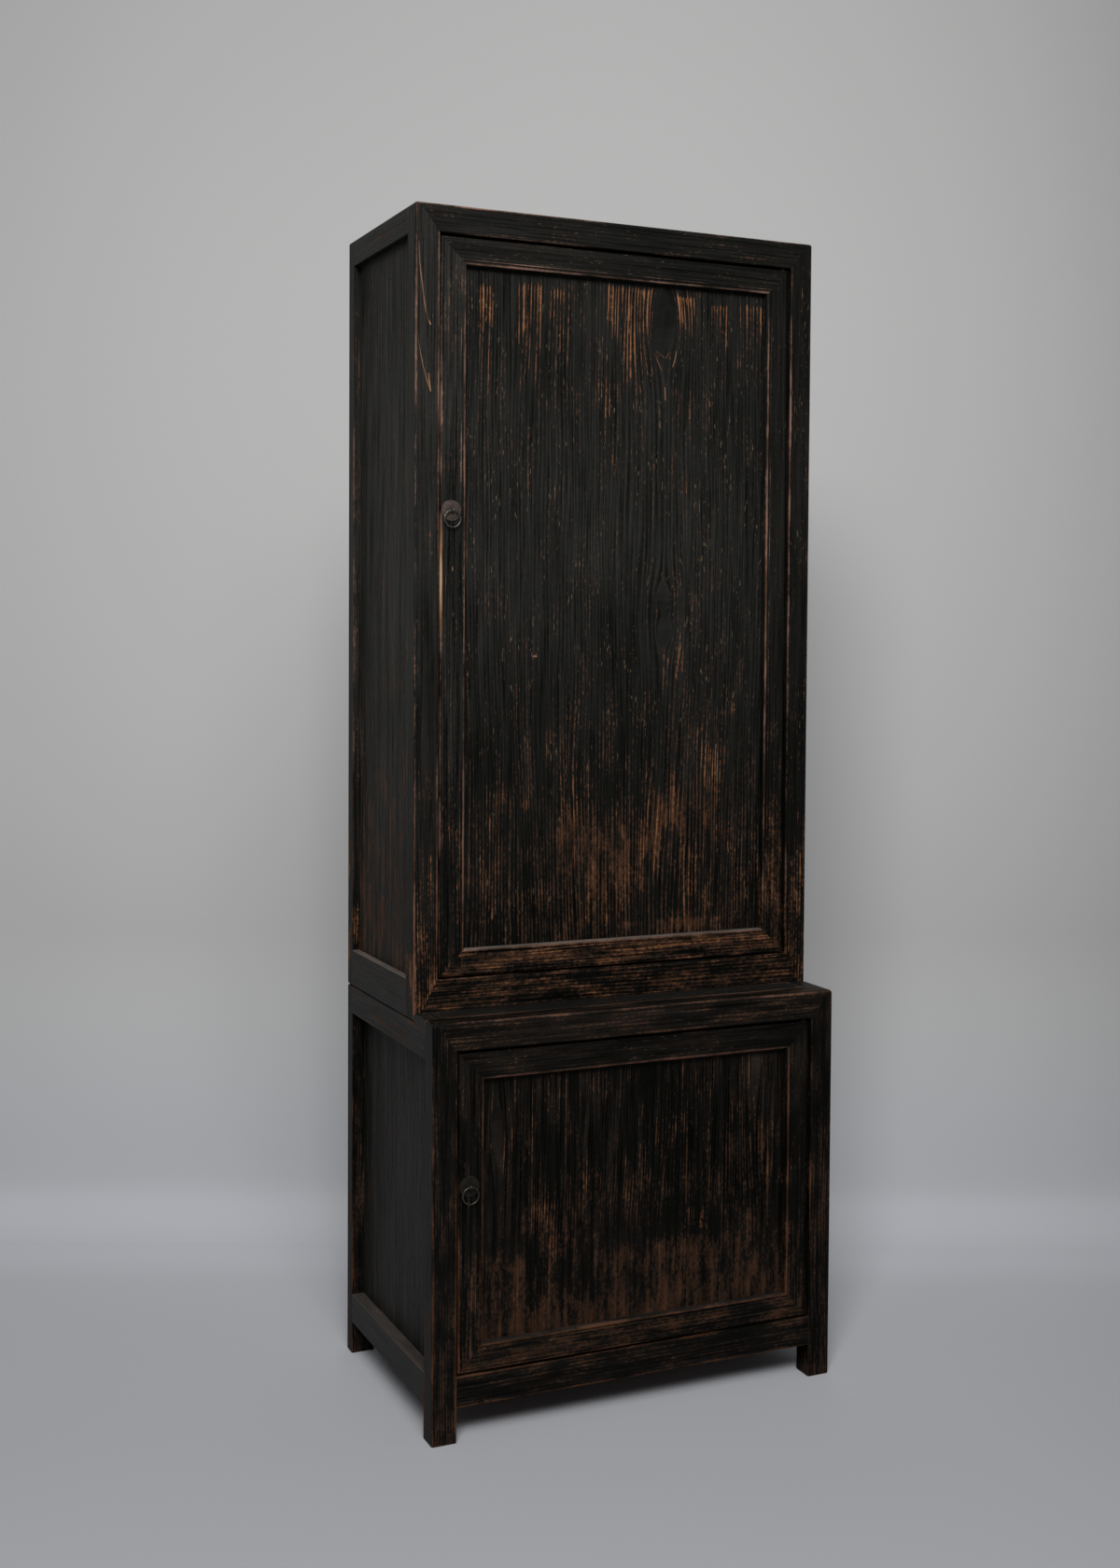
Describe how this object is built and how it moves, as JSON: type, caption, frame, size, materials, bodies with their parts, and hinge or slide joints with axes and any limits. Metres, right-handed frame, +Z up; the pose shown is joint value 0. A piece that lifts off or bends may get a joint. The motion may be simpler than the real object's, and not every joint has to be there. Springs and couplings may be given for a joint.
{
  "type": "stacked cabinet",
  "caption": "Tall narrow lacquered wood cabinet built as stacked cases, each with a framed door on wooden pivots and a ring pull; the upper case stands behind a raised ledge.",
  "frame": {"origin": "on the floor, at the middle of the whole cabinet's footprint, the ring pulls included", "axes": "+X to the right as seen from the front, +Y to the back, +Z up; the doors face -Y"},
  "size_m": [0.708, 0.439, 1.9],
  "materials": {
    "case_frame_lacquer": "near-black lacquer over pine, worn to reddish brown on the edges and low on the frame, satin",
    "door_frame_lacquer": "near-black lacquer, worn brown along edges and bead, satin",
    "door_panel_lacquer": "black lacquer rubbed thin over upright pine grain, orange-brown where worn",
    "side_panel_lacquer": "dark grey-brown lacquer with faint upright grain, satin",
    "board_lacquer": "dark grey lacquer, dull",
    "plain_inner_wood": "unlacquered pine, aged brown, matt",
    "plate_brass": "mottled red-brown patina with a lighter rim",
    "pull_iron": "dark forged wire, polished where handled"
  },
  "bodies": {
    "lower_case": {"lower_back_panel": "plain_inner_wood", "lower_door_stop": "plain_inner_wood", "lower_dust_board": "plain_inner_wood", "lower_floor_board": "plain_inner_wood", "lower_front_bottom_rail": "case_frame_lacquer", "lower_front_left_post": "case_frame_lacquer", "lower_front_right_post": "case_frame_lacquer", "lower_front_top_rail": "case_frame_lacquer", "lower_ledge_board": "board_lacquer", "lower_left_bottom_rail": "case_frame_lacquer", "lower_left_panel": "side_panel_lacquer", "lower_left_top_rail": "case_frame_lacquer", "lower_rear_bottom_rail": "case_frame_lacquer", "lower_rear_left_post": "case_frame_lacquer", "lower_rear_right_post": "case_frame_lacquer", "lower_rear_top_rail": "case_frame_lacquer", "lower_right_bottom_rail": "case_frame_lacquer", "lower_right_panel": "side_panel_lacquer", "lower_right_top_rail": "case_frame_lacquer"},
    "upper_case": {"upper_back_panel": "plain_inner_wood", "upper_door_stop": "plain_inner_wood", "upper_floor_board": "plain_inner_wood", "upper_front_bottom_rail": "case_frame_lacquer", "upper_front_left_post": "case_frame_lacquer", "upper_front_right_post": "case_frame_lacquer", "upper_front_top_rail": "case_frame_lacquer", "upper_left_bottom_rail": "case_frame_lacquer", "upper_left_panel": "side_panel_lacquer", "upper_left_top_rail": "case_frame_lacquer", "upper_lower_shelf": "plain_inner_wood", "upper_lower_shelf_left_bearer": "plain_inner_wood", "upper_lower_shelf_right_bearer": "plain_inner_wood", "upper_rear_bottom_rail": "case_frame_lacquer", "upper_rear_left_post": "case_frame_lacquer", "upper_rear_right_post": "case_frame_lacquer", "upper_rear_top_rail": "case_frame_lacquer", "upper_right_bottom_rail": "case_frame_lacquer", "upper_right_panel": "side_panel_lacquer", "upper_right_top_rail": "case_frame_lacquer", "upper_top_board": "board_lacquer", "upper_upper_shelf": "plain_inner_wood", "upper_upper_shelf_left_bearer": "plain_inner_wood", "upper_upper_shelf_right_bearer": "plain_inner_wood"},
    "lower_door": {"lower_door_bottom_rail": "door_frame_lacquer", "lower_door_hinge_stile": "door_frame_lacquer", "lower_door_panel": "door_panel_lacquer", "lower_door_pull_stile": "door_frame_lacquer", "lower_door_top_rail": "door_frame_lacquer", "lower_pull_plate": "plate_brass", "lower_pull_staple": "pull_iron"},
    "lower_ring": {"lower_pull_ring": "pull_iron"},
    "upper_door": {"upper_door_bottom_rail": "door_frame_lacquer", "upper_door_hinge_stile": "door_frame_lacquer", "upper_door_panel": "door_panel_lacquer", "upper_door_pull_stile": "door_frame_lacquer", "upper_door_top_rail": "door_frame_lacquer", "upper_pull_plate": "plate_brass", "upper_pull_staple": "pull_iron"},
    "upper_ring": {"upper_pull_ring": "pull_iron"}
  },
  "joints": [
    {"name": "upper_case_lift", "type": "slide", "parent": "lower_case", "child": "upper_case", "axis": [0, 0, 1], "range_m": [0, 0.06]},
    {"name": "lower_door_hinge", "type": "hinge", "parent": "lower_case", "child": "lower_door", "pos_m": [0.302, -0.19995, 0.3535], "axis": [0, 0, 1], "range_deg": [0, 100]},
    {"name": "lower_ring_swing", "type": "hinge", "parent": "lower_door", "child": "lower_ring", "pos_m": [-0.29375, -0.21555, 0.395], "axis": [-1, 0, 0], "range_deg": [-8, 150]},
    {"name": "upper_door_hinge", "type": "hinge", "parent": "upper_case", "child": "upper_door", "pos_m": [0.302, -0.10995, 1.2777], "axis": [0, 0, 1], "range_deg": [0, 100]},
    {"name": "upper_ring_swing", "type": "hinge", "parent": "upper_door", "child": "upper_ring", "pos_m": [-0.29375, -0.12555, 1.43], "axis": [-1, 0, 0], "range_deg": [-8, 150]}
  ]
}
